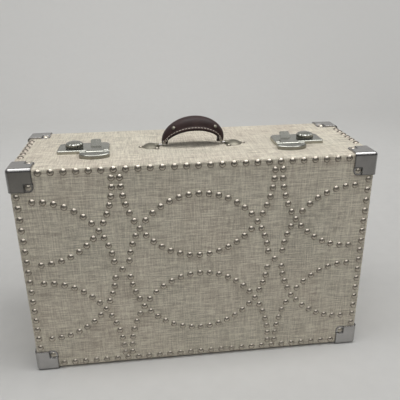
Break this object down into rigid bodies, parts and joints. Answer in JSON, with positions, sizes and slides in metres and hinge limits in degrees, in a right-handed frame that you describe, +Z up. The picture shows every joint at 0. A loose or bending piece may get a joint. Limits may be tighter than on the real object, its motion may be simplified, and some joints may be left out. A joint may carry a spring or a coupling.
{
  "type": "suitcase",
  "caption": "Hard suitcase covered in natural linen, with a nailhead ring pattern, metal corner caps, turn-knob latches and a leather handle.",
  "frame": {"origin": "under the middle of the case, on the plane that its bottom corner caps stand on", "axes": "+X along the width, -Y out of the studded front, +Z up"},
  "size_m": [0.5062, 0.1902, 0.3665],
  "materials": {
    "wood": "sanded poplar plywood",
    "linen": "natural slubby linen weave",
    "lining": "plain cotton",
    "nickel": "nickel plated, lightly worn",
    "steel": "plain steel",
    "leather": "waxed burgundy brown leather",
    "chrome": "bright plate with fine scratches"
  },
  "bodies": {
    "body": {"back_board": "wood", "body_top_board": "wood", "body_bottom_board": "wood", "body_side_boards": "wood", "body_linen": "linen", "body_lining": "lining", "closing_lip": "wood", "body_corner_caps": "chrome", "body_cap_rivets": "steel", "back_studs": "nickel", "body_top_studs": "nickel", "left_lock_casing": "chrome", "right_lock_casing": "chrome", "lock_base_plates": "steel", "lock_rivets": "steel", "left_handle_plate": "chrome", "right_handle_plate": "chrome", "handle_plate_rivets": "steel", "body_hinge_leaves": "chrome", "body_hinge_rivets": "steel", "hinge_pins": "steel"},
    "lid": {"front_board": "wood", "lid_top_board": "wood", "lid_bottom_board": "wood", "lid_side_boards": "wood", "lid_linen": "linen", "lid_lining": "lining", "lid_corner_caps": "chrome", "lid_cap_rivets": "steel", "front_border_studs": "nickel", "front_ring_studs": "nickel", "left_hasp_base": "chrome", "right_hasp_base": "chrome", "hasp_base_rivets": "steel", "hasp_pins": "steel", "lid_hinge_leaves": "chrome", "lid_hinge_rivets": "steel"},
    "left_hasp": {"left_hasp": "chrome"},
    "right_hasp": {"right_hasp": "chrome"},
    "left_lock": {"left_knob": "chrome", "left_cam": "steel"},
    "right_lock": {"right_knob": "chrome", "right_cam": "steel"},
    "left_bolt": {"left_bolt": "steel"},
    "right_bolt": {"right_bolt": "steel"},
    "handle": {"handle_grip": "leather", "handle_strap": "leather", "handle_loops": "chrome"}
  },
  "joints": [
    {"name": "lid_hinge", "type": "hinge", "parent": "body", "child": "lid", "pos_m": [0, -0.0454, 0.0024], "axis": [1, 0, 0], "range_deg": [0, 120]},
    {"name": "left_hasp_hinge", "type": "hinge", "parent": "lid", "child": "left_hasp", "pos_m": [-0.1405, -0.0426, 0.3272], "axis": [1, 0, 0], "range_deg": [0, 110]},
    {"name": "right_hasp_hinge", "type": "hinge", "parent": "lid", "child": "right_hasp", "pos_m": [0.1405, -0.0426, 0.3272], "axis": [1, 0, 0], "range_deg": [0, 110]},
    {"name": "left_knob_turn", "type": "hinge", "parent": "body", "child": "left_lock", "pos_m": [-0.1715, -0.012, 0.3224], "axis": [0, 0, 1], "range_deg": [0, 90]},
    {"name": "right_knob_turn", "type": "hinge", "parent": "body", "child": "right_lock", "pos_m": [0.1715, -0.012, 0.3224], "axis": [0, 0, -1], "range_deg": [0, 90]},
    {"name": "left_bolt_slide", "type": "slide", "parent": "body", "child": "left_bolt", "axis": [1, 0, 0], "range_m": [0, 0.00707]},
    {"name": "right_bolt_slide", "type": "slide", "parent": "body", "child": "right_bolt", "axis": [-1, 0, 0], "range_m": [0, 0.00707]},
    {"name": "handle_fold", "type": "hinge", "parent": "body", "child": "handle", "pos_m": [0, -0.01, 0.3246], "axis": [1, 0, 0], "range_deg": [-55, 55]}
  ],
  "couplings": [
    {"joint": "left_bolt_slide", "follows": "left_knob_turn", "m_per_rad": 0.0045016},
    {"joint": "right_bolt_slide", "follows": "right_knob_turn", "m_per_rad": 0.0045016}
  ]
}
